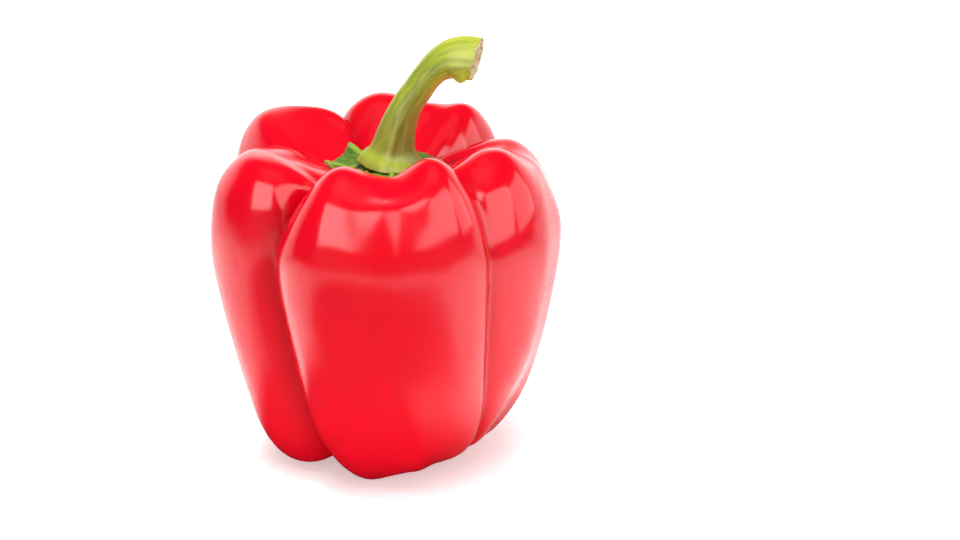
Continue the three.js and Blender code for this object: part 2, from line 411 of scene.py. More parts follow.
@dataclass(frozen=True)
class CalyxLeaf(Finish):
    """Calyx: thick leafy tissue, as grown, dark green with paler veins and a satin, finely wrinkled face."""

    name: str = "calyx_leafy_green"
    leaf: str = "#4c6a16"
    dark_leaf: str = "#2f4a0e"
    vein: str = "#7d9232"
    dry_edge: str = "#7d7a34"
    wrinkle_size: float = 1.6
    wrinkle_height: float = 0.25

    def surface(self, tree: Tree) -> dict:
        """The calyx's shading, which reads the mesh's vein and edge values."""
        place = add_node(tree, "TexCoord", {}).outputs["Object"]
        reads = [add_node(tree, "Attribute", {"attribute_name": n}) for n in ("vein", "edge")]
        vein, edge = (read.outputs["Fac"] for read in reads)
        folds = {"Vector": place, "Scale": noise_scale(self.wrinkle_size), "Detail": 3.0, "Roughness": 0.6}
        wrinkles = add_node(tree, "TexNoise", folds).outputs["Fac"]
        colour = laid_over(tree, self.dark_leaf, self.leaf, wrinkles, 0.35, 0.65, 1.0)
        colour = laid_over(tree, colour, self.vein, vein, 0.2, 1.0, 0.7)
        colour = laid_over(tree, colour, self.dry_edge, edge, 0.5, 1.0, 0.6)
        relief = {"Strength": 0.5, "Distance": self.wrinkle_height * MM, "Height": wrinkles}
        satin = {**SMOOTH, 0: wrinkles, 1: 0.3, 2: 0.7, 3: 0.42, 4: 0.6}
        return {
            "Base Color": colour,
            "Roughness": add_node(tree, "MapRange", satin).outputs[0],
            "IOR": 1.45,
            "Normal": add_node(tree, "Bump", relief).outputs[0],
        }


@dataclass(frozen=True)
class StemSkin(Finish):
    """Pepper stem: firm green stalk, as grown, with fine fibres along it, darker where it flares."""

    name: str = "stem_fibrous_green"
    green: str = "#8f9a24"
    dark_green: str = "#6e801c"
    yellow: str = "#9e9c20"
    foot_green: str = "#7c8220"
    brown: str = "#a98238"
    fibre_size: float = 1.1
    fibre_height: float = 0.2

    def surface(self, tree: Tree) -> dict:
        """The stem's shading, which reads the mesh's fibre place and colour values."""
        fibre = add_node(tree, "Attribute", {"attribute_name": "fibre"}).outputs["Vector"]
        fibres = {"Vector": fibre, "Scale": noise_scale(self.fibre_size), "Detail": 3.0, "Roughness": 0.55}
        strands = add_node(tree, "TexNoise", fibres).outputs["Fac"]
        mostly_green = {**SMOOTH, 0: strands, 1: 0.3, 2: 0.7, 3: 0.1}
        share = add_node(tree, "MapRange", mostly_green).outputs[0]
        colour = add_node(tree, "Mix", {**COLOURS, 0: share, 6: self.dark_green, 7: self.green}).outputs[2]
        for name, tint in (("yellow", self.yellow), ("flare", self.foot_green), ("brown", self.brown)):
            share = add_node(tree, "Attribute", {"attribute_name": name}).outputs["Fac"]
            colour = add_node(tree, "Mix", {**COLOURS, 0: share, 6: colour, 7: tint}).outputs[2]
        relief = {"Strength": 0.35, "Distance": self.fibre_height * MM, "Height": strands}
        satin = {**SMOOTH, 0: strands, 1: 0.3, 2: 0.7, 3: 0.34, 4: 0.5}
        return {
            "Base Color": colour,
            "Roughness": add_node(tree, "MapRange", satin).outputs[0],
            "IOR": 1.45,
            "Normal": add_node(tree, "Bump", relief).outputs[0],
        }


@dataclass(frozen=True)
class CutStem(Finish):
    """Cut stem end: dried woody pith where the stalk was cut, cream with brown fibre ends, dull and rough."""

    name: str = "stem_cut_dry_wood"
    pith: str = "#c4b48c"
    tan: str = "#a88c60"
    fibre_brown: str = "#7a5a34"
    fibre_size: float = 0.9
    fibre_height: float = 0.4

    def surface(self, tree: Tree) -> dict:
        """The cut end's shading, which reads the mesh's rim value."""
        place = add_node(tree, "TexCoord", {}).outputs["Object"]
        rim = add_node(tree, "Attribute", {"attribute_name": "rim"}).outputs["Fac"]
        wood = {"Vector": place, "Scale": noise_scale(self.fibre_size), "Detail": 4.0, "Roughness": 0.7}
        grain = add_node(tree, "TexNoise", wood).outputs["Fac"]
        ends = {"Vector": place, "Scale": noise_scale(self.fibre_size * 0.8), "Detail": 1.0}
        specks = add_node(tree, "TexNoise", ends).outputs["Fac"]
        colour = laid_over(tree, self.tan, self.pith, grain, 0.4, 0.6, 1.0)
        colour = laid_over(tree, colour, self.fibre_brown, specks, 0.52, 0.62, 0.85)
        colour = laid_over(tree, colour, self.fibre_brown, rim, 0.3, 1.0, 0.8)
        relief = {"Strength": 0.8, "Distance": self.fibre_height * MM, "Height": grain}
        normal = add_node(tree, "Bump", relief).outputs[0]
        return {"Base Color": colour, "Roughness": 0.8, "IOR": 1.45, "Normal": normal}


@dataclass(frozen=True)
class PaintedShade:
    """A round patch of painted shade on the paper, which only glossy things mirror; the camera sees plain
    paper there.

    Attributes:
        centre: its centre, in metres.
        dark: the distance from its centre at which it is darkest, in metres.
        clear: the distance at which it has faded out. Where that is the smaller one, the patch is a ring.
    """

    centre: Point
    dark: float
    clear: float

    def strength(self, tree: Tree, place: Socket) -> Socket:
        """How dark it is at a place on the paper, from 0 to 1."""
        distance = {"operation": "DISTANCE", 0: place, 1: self.centre}
        away = add_node(tree, "VectorMath", distance).outputs["Value"]
        return add_node(tree, "MapRange", {**SMOOTH, 0: away, 1: self.clear, 2: self.dark}).outputs[0]


@dataclass(frozen=True)
class StudioPaper(Finish):
    """Studio paper: matt white background paper off the roll, on a table that is faintly lit from below.

    Attributes:
        name: the material's name.
        white: the paper.
        shaded: its slightly darker fibres.
        mirrored: the paper in front, as glossy things mirror it.
        painted_shade: the colour of the painted shade, as glossy things mirror it.
        painted_shades: where the patches of painted shade lie.
        front: how far back the mirrored paper, with its painted shade and without its glow, starts to give
            way to the plain one, and where it is gone.
        glow: how strongly light comes through the paper.
        fibre_size: how wide a fibre patch is, in millimetres.
    """

    name: str = "studio_paper_white"
    white: str = "#f4f4f4"
    shaded: str = "#ededed"
    mirrored: str = "#f4f4f4"
    painted_shade: str = "#1a1a1a"
    painted_shades: tuple[PaintedShade, ...] = (
        PaintedShade((0.0, 0.25, 0.0), 0.58, 0.45),
        PaintedShade((-0.02, -0.12, 0.0), 0.05, 0.12),
        PaintedShade((-0.02, -0.035, 0.0), 0.035, 0.06),
    )
    front: tuple[float, float] = (0.03, 0.15)
    glow: float = 0.42
    fibre_size: float = 2.0

    def surface(self, tree: Tree) -> dict:
        """The paper's shading, with painted shade in front that only glossy things mirror."""
        place = add_node(tree, "TexCoord", {}).outputs["Object"]
        paper = {"Vector": place, "Scale": noise_scale(self.fibre_size)}
        fibres = add_node(tree, "TexNoise", paper).outputs["Fac"]
        plain = laid_over(tree, self.white, self.shaded, fibres, 0.3, 0.7, 0.3)
        # Painted shade: to glossy rays, the paper in front loses its glow and darkens in the patches, so the
        # pepper mirrors a darker floor than the camera sees.
        dark, *others = (painted_shade.strength(tree, place) for painted_shade in self.painted_shades)
        for other in others:
            dark = add_node(tree, "Math", {"operation": "MAXIMUM", 0: dark, 1: other}).outputs[0]
        painted_shades = add_node(tree, "Mix", {**COLOURS, 0: dark, 6: self.mirrored, 7: self.painted_shade}).outputs[2]
        y = add_node(tree, "SeparateXYZ", {0: place}).outputs["Y"]
        near, far = self.front
        front = add_node(tree, "MapRange", {**SMOOTH, 0: y, 1: far, 2: near}).outputs[0]
        glossy = add_node(tree, "LightPath", {}).outputs["Is Glossy Ray"]
        dim = add_node(tree, "Math", {"operation": "MULTIPLY", 0: front, 1: glossy}).outputs[0]
        return {
            "Base Color": add_node(tree, "Mix", {**COLOURS, 0: dim, 6: plain, 7: painted_shades}).outputs[2],
            "Roughness": 0.7,
            "IOR": 1.45,
            "Emission Strength": self.glow,
            # Painted shade: no glow where glossy things mirror the paper in front.
            "Emission Color": add_node(tree, "Mix", {**COLOURS, 0: dim, 6: WHITE, 7: BLACK}).outputs[2],
        }


# -------------------- fruit


@dataclass(frozen=True)
class Fold:
    """A crease between two lobes, or the soft dip down the middle of one.

    Attributes:
        at: where it is, in degrees from +X towards +Y.
        lean: how many degrees it has swung by the foot.
        turn: how many degrees it has swung by the shoulder.
        rise: how far the crest stands up there.
        shoulder: how deep it is on the shoulder.
        brow: how deep it is just under the shoulder.
        waist: how deep it is at the widest height.
        flank: how deep it is low on the flank.
        foot: how deep it is at the foot.
        round: 0 for a sharp crease, 3 for a soft dip.
    """

    at: float
    lean: float
    turn: float
    rise: float
    shoulder: float
    brow: float
    waist: float
    flank: float
    foot: float
    round: float


@dataclass(frozen=True)
class Swell:
    """What the half lobe between a fold and the next one adds to the outline.

    Attributes:
        reach: how far it stands out at the waist.
        rise: how far its shoulder stands up.
        flare: how far its shoulder stands out.
        lift: how far its foot is raised.
        splay: how far its foot stands out.
    """

    reach: float
    rise: float
    flare: float
    lift: float
    splay: float


@dataclass(frozen=True)
class Mark:
    """A thin dry mark on the skin, from start to end, width wide, all in millimetres."""

    start: Point
    end: Point
    width: float
    strength: float

    def strength_at(self, points: np.ndarray) -> np.ndarray:
        """How strongly the mark shows at each point, from 0 to 1."""
        start, end = np.array(self.start), np.array(self.end)
        line = end - start
        t = np.clip(((points - start) @ line) / (line @ line), 0, 1)
        away = np.linalg.norm(points - start - t[..., None] * line, axis=-1)
        return self.strength * np.exp(-((away / self.width) ** 2))


@dataclass
class Fruit:
    """The fruit: one closed skin whose outline is turned round the axis and sunk in at the folds.

    Attributes:
        outline: a lobe's side as (distance from the axis, height), from the hollow under the base, down to
            the foot, up the flank, over the shoulder and down to the seat of the calyx.
        folds: the folds, in order round the axis.
        swells: the half lobe after each fold.
        bow: how round a half lobe is across, towards 1 for a half circle.
        trim: the height up to which the lowest tips are pressed flat.
        rings: rings of the mesh from the base to the seat.
        columns: columns of the mesh on each half lobe.
    """

    outline: tuple[tuple[float, float], ...] = (
        (0, 10), (7, 9), (13.5, 3.8), (20, 0), (26.5, 1.6), (31.8, 9), (36, 22), (39.6, 38),
        (42.3, 55), (42.4, 67), (39.4, 77.5), (33, 84.6), (26.5, 85.2), (20.5, 81.2), (14.5, 76.6),
        (7, 74.2), (0, 74),
    )
    folds: tuple[Fold, ...] = (
        Fold(-137, 12, 6, -2, 13, 11, 9, 8, 10, 0.1),
        Fold(-84, 12, 0, 0, 4.2, 1.4, 0.9, 0.5, 3.5, 3),
        Fold(-47, 20, 0, -0.4, 7.5, 6, 4.5, 4, 7, 0.15),
        Fold(0, 6, 0, -3.6, 2.8, 0.2, -1.2, -1, 2, 3),
        Fold(33, 0, 0, -3.5, 9, 8, 6, 6, 9, 0.12),
        Fold(72, 0, 0, 0, 2.2, 1.9, 1.8, 1, 3, 3),
        Fold(113, 0, 0, 0, 7, 6.8, 6.5, 6, 9, 0.08),
        Fold(167, 3, 0, -2.8, 4.5, 4.6, 5, 5, 8, 0.3),
    )
    swells: tuple[Swell, ...] = (
        Swell(0, -0.8, 0, 0.4, -3.5),
        Swell(0, 1.2, 0, 3, -4),
        Swell(0.4, -1.3, 0, 3, -4),
        Swell(0.8, -5.6, 0.9, 0.2, -1.5),
        Swell(-1, -0.8, 2, 0.5, -4),
        Swell(0, 0.2, 0, 0, 0),
        Swell(3.2, -2.2, 4, 0.3, 0),
        Swell(0.4, -3.4, 2.4, 1.2, 0.5),
    )
    bow: float = 0.95
    trim: float = 0.9
    rings: int = 250
    columns: int = 44

    def __post_init__(self) -> None:
        """Turns the outline into a smooth line, and finds its foot, waist and shoulder."""
        points = np.array(self.outline, float)
        mirror = np.array([-1.0, 1.0])
        self.line = catmull_rom(points, points[1] * mirror, points[-2] * mirror, self.rings)
        self.along = np.linspace(0, 1, self.rings)
        self.foot_at = self.along[self.line[:, 1].argmin()]
        self.waist_at = self.along[self.line[:, 0].argmax()]
        self.shoulder_at = self.along[self.line[:, 1].argmax()]

    def seat_height(self, distance: np.ndarray) -> np.ndarray:
        """The height of the calyx's seat at distances from the axis."""
        inner = self.line[self.line[:, 1].argmax() :][::-1]
        return np.interp(distance, inner[:, 0], inner[:, 1])

    def fold_depth(self, fold: Fold) -> np.ndarray:
        """How deep a fold is on each ring. It fades out under the calyx."""
        foot, waist, shoulder = self.foot_at, self.waist_at, self.shoulder_at
        keys = [
            (0, 0),
            (foot * 0.45, fold.foot * 0.55),
            (foot, fold.foot),
            (foot + 0.42 * (waist - foot), fold.flank),
            (waist, fold.waist),
            (waist + 0.6 * (shoulder - waist), fold.brow),
            (shoulder - 0.01, fold.shoulder),
            (shoulder + 0.045, fold.shoulder),
            (shoulder + 0.13, fold.shoulder * 0.25),
            (1, 0),
        ]
        return keyed(self.along, keys)[:, None]

    def inward(self) -> np.ndarray:
        """The direction in which each ring's skin sinks, towards a line inside the fruit."""
        r, z = self.line.T
        core = np.stack([np.minimum(r * 0.45, 10), 24 + z * 0.44], axis=1)
        toward = core - self.line
        return toward / np.linalg.norm(toward, axis=1, keepdims=True)

    def half_lobe(self, index: int) -> tuple[np.ndarray, np.ndarray]:
        """One half lobe's skin.

        Args:
            index: the number of the fold that it starts from.

        Returns:
            Its points, and how deep in a crease each point is, from 0 to 1.
        """
        first, after = self.folds[index], self.folds[(index + 1) % len(self.folds)]
        swell = self.swells[index]
        along = self.along[:, None]
        foot, waist, shoulder = self.foot_at, self.waist_at, self.shoulder_at
        droop = np.clip((waist - along) / (waist - foot), 0, 1.25) ** 1.8
        top = ease(along, waist, shoulder)
        start = first.at + first.lean * droop + first.turn * top
        end = after.at + after.lean * droop + after.turn * top
        end = end + 360 * (end < start)
        side = np.linspace(-1, 1, self.columns, endpoint=False)[None]
        side = side * (1.25 - 0.25 * side * side)  # columns stand closer near the folds
        angle = np.radians(start + (end - start) * (side + 1) / 2)

        depth_share = ease(side, -1, 1)
        depth = self.fold_depth(first) * (1 - depth_share) + self.fold_depth(after) * depth_share
        edge = 1 - np.abs(side)
        rounding = first.round * (1 - depth_share) + after.round * depth_share
        edge = edge * edge * (1 + rounding) / (edge + rounding)
        flat = 1 - math.sqrt(1 - self.bow**2)
        sunk = depth * (1 - np.sqrt(1 - (self.bow * (1 - edge)) ** 2)) / flat

        crown = (1 - side * side) ** 2
        at_shoulder = ease(along, waist, shoulder) * ease(along, shoulder + 0.125, shoulder)
        at_waist = ease(along, foot, waist) * ease(along, shoulder + 0.1, shoulder)
        at_foot = ease(along, waist * 0.75, foot) * ease(along, 0, foot)
        at_crest = ease(along, (foot + waist) / 2, shoulder) * ease(along, shoulder + 0.125, shoulder)
        out = swell.reach * at_waist + swell.flare * at_shoulder + swell.splay * at_foot
        level = first.rise * (1 - depth_share) + after.rise * depth_share
        up = (level + crown * (swell.rise - level)) * at_crest + crown * swell.lift * at_foot
        inward = self.inward()
        r = self.line[:, :1] + inward[:, :1] * sunk + crown * out
        z = self.line[:, 1:] + inward[:, 1:] * sunk + up
        r[0] = 0
        r[-1] = 0
        points = np.stack([r * np.cos(angle), r * np.sin(angle), z + 0 * angle], axis=-1)
        sharp = 1 / (1 + rounding)
        # crease: how deep in a crease each point is, the mask for the skin's painted crease shade.
        crease = np.exp(-((1 - np.abs(side)) / 0.12) ** 2) * sharp * np.clip(depth / 6, 0, 1)
        return points, crease

    def grid(self) -> tuple[np.ndarray, np.ndarray]:
        """The whole skin's points, and how deep in a crease each one is."""
        halves = [self.half_lobe(i) for i in range(len(self.folds))]
        points = np.concatenate([h[0] for h in halves], axis=1)
        crease = np.concatenate([h[1] for h in halves], axis=1)
        return points, crease

    def uneven(self, points: np.ndarray) -> np.ndarray:
        """The skin with its slow natural unevenness, and with its lowest tips pressed flat."""
        stretched = points * np.array([1.0, 1.0, 0.6])
        height = 0.45 * lumps(stretched, 17.0, 3.1) + 0.12 * lumps(stretched, 7.0, 11.7)
        fade = ease(self.along, 0.03, 0.12) * ease(self.along, 0.985, self.shoulder_at + 0.06)
        points = points + grid_normals(points) * (height * fade[:, None])[..., None]
        z = points[..., 2]
        soft = 0.12
        points[..., 2] = self.trim + soft * np.logaddexp(0, (z - self.trim) / soft)
        return points

    def build(self, place: Placement, grid: np.ndarray, crease: np.ndarray) -> bpy.types.Object:
        """Makes the fruit from its skin's points and how deep in a crease each one is."""
        marks = [
            Mark((25.2, -29.5, 66.5), (25.6, -28.6, 57.0), 0.5, 0.75),
            Mark((-4.6, -41.5, 61.5), (-5.6, -41.4, 60.0), 0.3, 0.6),
        ]
        mark = sum(m.strength_at(grid) for m in marks)
        low = ease(self.along, 0.06, 0.0)[:, None]
        distance = np.hypot(grid[..., 0], grid[..., 1])
        scar = ease(distance, 3.2, 1.6) * low
        paint = {"crease": crease, "mark": mark, "scar": scar}
        piece = build_piece("fruit_skin", grid, place, paint, Node.FRUIT)
        piece.data.materials.append(PepperSkin().material())
        return piece


# -------------------- calyx


@dataclass(frozen=True)
class Tip:
    """A point of the calyx.

    Attributes:
        at: where it is, in degrees from +X towards +Y.
        reach: how far it is from the calyx's centre.
        notch: the calyx's radius between it and the next point.
        curl: how far its end curls up.
    """

    at: float
    reach: float
    notch: float
    curl: float


@dataclass
class Calyx:
    """The star-shaped plate of leafy tissue between the stem and the fruit.

    Attributes:
        centre: where it grows, beside the fruit's axis.
        tips: its points, going round clockwise.
        sharpness: how hollow the arcs between the tips are.
        boss: the radius of its thick middle.
        middle: how thick the middle is.
        edge: how thick the edge is.
        columns: columns of the mesh round it.
        rings: rings of the mesh from its centre to its edge.
    """

    centre: tuple[float, float] = (2.0, 0.0)
    tips: tuple[Tip, ...] = (
        Tip(182, 16.8, 14.3, 0.2), Tip(131, 16.8, 11.5, 0), Tip(86, 15, 11, 0.3), Tip(-6, 13, 11, 0.2),
        Tip(-42, 15, 11.5, 0.3), Tip(-88, 14.5, 11.5, 0.3), Tip(-134, 15, 11.5, 0.3),
    )
    sharpness: float = 1.7
    boss: float = 8.6
    middle: float = 2.2
    edge: float = 0.9
    columns: int = 336
    rings: int = 44

    def outline(self, degrees: np.ndarray) -> tuple[np.ndarray, np.ndarray, np.ndarray]:
        """The plate's edge.

        Args:
            degrees: directions from its centre.

        Returns:
            The edge's radius, how near each direction is to a tip from 0 to 1, and the tip's curl.
        """
        radius = np.zeros_like(degrees)
        nearness = np.zeros_like(degrees)
        curl = np.zeros_like(degrees)
        for tip, after in zip(self.tips, self.tips[1:] + self.tips[:1]):
            width = (tip.at - after.at) % 360
            past = (tip.at - degrees) % 360
            inside = past <= width
            side = past / width * 2 - 1
            reach = np.where(side < 0, tip.reach, after.reach)
            near = np.abs(side)
            radius = np.where(inside, tip.notch + (reach - tip.notch) * near**self.sharpness, radius)
            nearness = np.where(inside, near, nearness)
            curl = np.where(inside, np.where(side < 0, tip.curl, after.curl), curl)
        return radius, nearness, curl

    def grid(self, fruit: Fruit) -> tuple[np.ndarray, dict[str, np.ndarray]]:
        """The plate's points, from the middle of its underside round its edge to the middle of its top.

        Args:
            fruit: the fruit whose seat it follows.

        Returns:
            The points, and the vein and edge values that the material reads.
        """
        degrees = np.linspace(0, 360, self.columns, endpoint=False)
        reach, nearness, curl = self.outline(degrees)
        share = np.sin(np.linspace(0, 1, self.rings) * math.pi / 2)
        shares = np.concatenate([share, share[::-1]])[:, None]
        top = (np.arange(2 * self.rings) >= self.rings)[:, None]
        radius = shares * reach
        wobble = 0.35 * np.stack([np.cos(np.radians(degrees)), np.sin(np.radians(degrees))], -1)
        jag = 1 + 0.03 * lumps(np.concatenate([wobble * 30, np.zeros((self.columns, 1))], -1), 1.3, 5.0)
        radius = radius * (1 + (jag - 1) * ease(shares, 0.6, 1.0))
        x = self.centre[0] + radius * np.cos(np.radians(degrees))
        y = self.centre[1] + radius * np.sin(np.radians(degrees))
        under = fruit.seat_height(np.hypot(x, y)) + GAP

        vein = ease(nearness, 0.72, 0.98)[None] * ease(shares, 0.35, 0.6)
        side_veins = np.clip(np.cos(np.radians(degrees) * 31) * 1.4 - 0.6, 0, 1)[None]
        side_veins = side_veins * ease(shares, 0.5, 0.8)
        flat = np.stack([x, y, np.zeros_like(x)], -1)
        wrinkle = 0.22 * lumps(flat, 2.6, 7.3) + 0.35 * lumps(flat, 6.0, 1.9)
        spread = ease(shares, 0.45, 1.0)
        lift = curl[None] * nearness[None] ** 3 * spread**2 + 0.5 * spread * (1 - nearness[None]) ** 2
        thick = self.edge + (self.middle - self.edge) * ease(radius, self.boss + 2.5, self.boss - 1.5)
        thick = thick * np.sqrt(np.clip(1 - shares**14, 0, 1))
        relief = (0.45 * vein + 0.12 * side_veins + wrinkle * ease(shares, 0.3, 0.5)) * (thick > 0.2)
        z = under + lift + np.where(top, thick + relief, 0.0)
        paint = {"vein": np.where(top, vein + 0.4 * side_veins, 0.0), "edge": ease(shares, 0.93, 1.0) + 0 * x}
        return np.stack([x, y, z], -1), paint

    def build(self, place: Placement, fruit: Fruit) -> bpy.types.Object:
        """Makes the calyx, following the fruit's seat."""
        grid, paint = self.grid(fruit)
        piece = build_piece("calyx_star", grid, place, paint, Node.CALYX)
        piece.data.materials.append(CalyxLeaf().material())
        return piece


# -------------------- stem


@dataclass
class Stem:
    """The stem: a ribbed stalk that flares on to the calyx, bends to the right and ends in a swollen cut.

    Attributes:
        path: points along its middle.
        radii: its radius as (share of its length, radius).
        ribs: how many ribs run along it.
        rib_height: how high a rib is, as a share of the radius.
        knuckle_at: the share of its length where its underside steps out.
        knuckle: how far the underside steps out there.
        cut_normal: which way the cut faces.
        sides: columns of the mesh round it.
        steps: rings of the mesh along it.
        cap_rings: rings of the mesh across each end.
    """

    path: tuple[Point, ...] = (
        (2, 0, 77.2), (2.4, -0.1, 80), (3.1, -0.4, 83.5), (4.4, -0.8, 88.6), (6.4, -1.2, 93),
        (8.5, -1.6, 96.2), (10.7, -2, 99.6), (13.7, -2.5, 102.8), (17.1, -3, 104.6), (20.4, -3.5, 105),
        (23, -4, 104.8),
    )
    radii: tuple[tuple[float, float], ...] = (
        (0, 8.3), (0.035, 7.5), (0.07, 6.1), (0.11, 5.35), (0.16, 4.9), (0.24, 4.4), (0.34, 3.95),
        (0.46, 3.6), (0.6, 3.55), (0.7, 3.75), (0.78, 4.3), (0.86, 4.95), (0.93, 5.25), (1, 5.1),
    )
    ribs: int = 5
    rib_height: float = 0.05
    knuckle_at: float = 0.8
    knuckle: float = 1.1
    cut_normal: Point = (0.95, -0.25, -0.22)
    sides: int = 120
    steps: int = 200
    cap_rings: int = 16

    def frames(self) -> tuple[np.ndarray, np.ndarray, np.ndarray]:
        """The middle of each ring, and the directions to the outside of the bend and to the back."""
        points = np.array(self.path, float)
        middle = catmull_rom(points, points[0] - [0, 0, 3], 2 * points[-1] - points[-2], self.steps)
        tangent = np.gradient(middle, axis=0)
        tangent /= np.linalg.norm(tangent, axis=1, keepdims=True)
        back = np.array([0.0, 1.0, 0.0]) - tangent * tangent[:, 1:2]
        back /= np.linalg.norm(back, axis=1, keepdims=True)
        return middle, np.cross(tangent, back), back

    def grid(self) -> tuple[np.ndarray, dict[str, np.ndarray]]:
        """The stem's points, from the middle of its foot, up its side, to the middle of its cut.

        Returns:
            The points, and the values that the materials read.
        """
        middle, outer, back = self.frames()
        along = np.linspace(0, 1, self.steps)[:, None]
        turn = np.linspace(-math.pi, math.pi, self.sides, endpoint=False)[None]
        swirl = turn + 0.5 * along
        rib = np.cos(self.ribs * swirl) * 0.7 + np.cos(2 * self.ribs * swirl + 1.3) * 0.3
        rib_fade = 1 - 0.4 * ease(along, 0.7, 0.9)
        keys = np.array(self.radii)
        smooth = catmull_rom(keys, 2 * keys[0] - keys[1], 2 * keys[-1] - keys[-2], self.steps)
        plain = np.interp(along, smooth[:, 0], smooth[:, 1])
        radius = plain * (1 + self.rib_height * rib * rib_fade)
        under = ease(np.cos(turn), 0.2, -0.9)
        step = ease(along, self.knuckle_at, self.knuckle_at + 0.035)
        radius = radius + self.knuckle * under * (step - 0.75 * ease(along, self.knuckle_at + 0.05, 1.0))
        flat = 0 * along + 0 * turn
        fibre = np.stack([np.cos(turn) * 6 + flat, np.sin(turn) * 6 + flat, along * 9 + flat], -1)
        radius = radius + 0.1 * lumps(fibre, 1.3, 2.2) + 0.12 * lumps(fibre * [1, 1, 3], 5.0, 9.1)
        direction = np.cos(turn)[..., None] * outer[:, None] + np.sin(turn)[..., None] * back[:, None]
        side = middle[:, None] + radius[..., None] * direction

        # The last rings lean into the plane of the cut.
        normal = np.array(self.cut_normal) / np.linalg.norm(self.cut_normal)
        tangent = np.cross(back, outer)
        end = middle[-1]
        off_plane = (side - end) @ normal
        lean = ease(along, 0.86, 1.0) ** 1.5
        along_tangent = np.einsum("ik,k->i", tangent, normal)[:, None]
        ragged = 0.35 * lumps(fibre, 2.2, 4.4)
        target = off_plane[-1:] * lean - ragged * lean
        side = side - (target / np.maximum(along_tangent, 0.5))[..., None] * tangent[:, None]

        foot = side[:1] * np.linspace(0, 1, self.cap_rings, endpoint=False)[:, None, None]
        foot = foot + middle[0] * np.linspace(1, 0, self.cap_rings, endpoint=False)[:, None, None]
        across = np.linspace(1, 0, self.cap_rings + 1)[1:, None, None]
        cut_middle = side[-1].mean(0)
        cut = cut_middle + (side[-1:] - cut_middle) * across
        rough = lumps(cut, 1.6, 3.3) * 0.5 + lumps(cut, 0.7, 8.8) * 0.25
        hollow = ease(across[..., 0], 0.95, 0.6) * 0.5 - ease(across[..., 0], 0.5, 0.1) * 0.3
        cut = cut + normal * ((rough - hollow) * ease(across[..., 0], 1.0, 0.85))[..., None]
        points = np.concatenate([foot, side, cut])
        return points, self.paint(along, turn, fibre, across)

    def paint(
        self, along: np.ndarray, turn: np.ndarray, fibre: np.ndarray, across: np.ndarray
    ) -> dict[str, np.ndarray]:
        """The values that the stem's materials read.

        Args:
            along: the share of the length, for each ring.
            turn: the direction round the stem, for each column.
            fibre: a place that runs slowly along the fibres and fast across them.
            across: the cut's rings, 1 at its rim.

        Returns:
            Named values for each point.
        """
        flat = 0 * along + 0 * turn
        flare = 0.5 * ease(along, 0.3, 0.1) + flat
        under = ease(np.cos(turn), -0.2, -0.95)
        brown = 0.75 * under * ease(along, 0.1, 0.3) * ease(along, 0.86, 0.76)
        yellow = ease(np.cos(turn - 2.3), 0.4, 0.95) * 0.7 + 0.3 * ease(along, 0.74, 0.9) + flat
        values = {"flare": flare, "brown": brown + flat, "yellow": np.clip(yellow, 0, 1), "rim": flat + 1}
        caps = {"flare": 0.5, "brown": 0.0, "yellow": 0.3, "rim": 0.0}
        rim = ease(across[..., 0], 0.82, 1.0)
        full = {}
        for key, side in values.items():
            foot = np.full((self.cap_rings, self.sides), caps[key])
            cut = (rim if key == "rim" else 0 * rim + caps[key]) + 0 * turn
            full[key] = np.concatenate([foot, side, cut])
        ends = [np.repeat(fibre[:1], self.cap_rings, 0), fibre, np.repeat(fibre[-1:], self.cap_rings, 0)]
        full["fibre"] = np.concatenate(ends) * MM
        return full

    def build(self, place: Placement) -> bpy.types.Object:
        """Makes the stem, standing on the calyx, green outside and dry wood on its cut."""
        grid, paint = self.grid()
        piece = build_piece("stem_stalk", grid, place, paint, Node.STEM)
        piece.data.materials.append(StemSkin().material())
        piece.data.materials.append(CutStem().material())
        first_cut = self.cap_rings + self.steps - 1
        row = np.arange(len(piece.data.polygons)) % (first_cut + self.cap_rings)
        piece.data.polygons.foreach_set("material_index", (row >= first_cut).astype(np.int32))
        return piece


# -------------------- studio


@dataclass(frozen=True)
class Softbox:
    """A rectangular light that faces the pepper.

    Attributes:
        name: its name.
        azimuth: where it stands, in degrees from the front (-Y) towards the right (+X).
        elevation: how high it stands, in degrees.
        size: its width and height, in metres.
        radiance: how bright its face is, with 1 for white paper in plain light.
        distance: how far it stands, in metres.
        target: the height that it faces, in metres.
    """

    name: str
    azimuth: float
    elevation: float
    size: tuple[float, float]
    radiance: float
    distance: float = 1.2
    target: float = 0.05

    def build(self) -> bpy.types.Object:
        """Makes the light, which the camera doesn't see."""
        a, e = math.radians(self.azimuth), math.radians(self.elevation)
        away = Vector((math.sin(a) * math.cos(e), -math.cos(a) * math.cos(e), math.sin(e))) * self.distance
        data = bpy.data.lights.new(self.name, "AREA")
        data.shape = "RECTANGLE"
        data.size, data.size_y = self.size
        data.energy = self.radiance * math.pi * self.size[0] * self.size[1]
        light = bpy.data.objects.new(self.name, data)
        light.location = Vector((0, 0, self.target)) + away
        light.rotation_euler = (-away).to_track_quat("-Z", "Y").to_euler()
        light.visible_camera = False
        bpy.context.scene.collection.objects.link(light)
        return light


@dataclass(frozen=True)
class Spot:
    """A soft-edged light that shines straight down.

    Attributes:
        name: its name.
        where: its x and y, in metres.
        height: how high it hangs, in metres.
        cone: how wide it opens, in degrees.
        power: its power in watts.
        edge: how soft the edge of its cone is, from 0 to 1.
        lamp: its lamp's radius, in metres.
    """

    name: str
    where: tuple[float, float]
    height: float
    cone: float
    power: float
    edge: float = 0.9
    lamp: float = 0.04

    def build(self) -> bpy.types.Object:
        """Makes the light."""
        data = bpy.data.lights.new(self.name, "SPOT")
        data.energy = self.power
        data.spot_size = math.radians(self.cone)
        data.spot_blend = self.edge
        data.shadow_soft_size = self.lamp
        light = bpy.data.objects.new(self.name, data)
        light.location = (*self.where, self.height)
        bpy.context.scene.collection.objects.link(light)
        return light


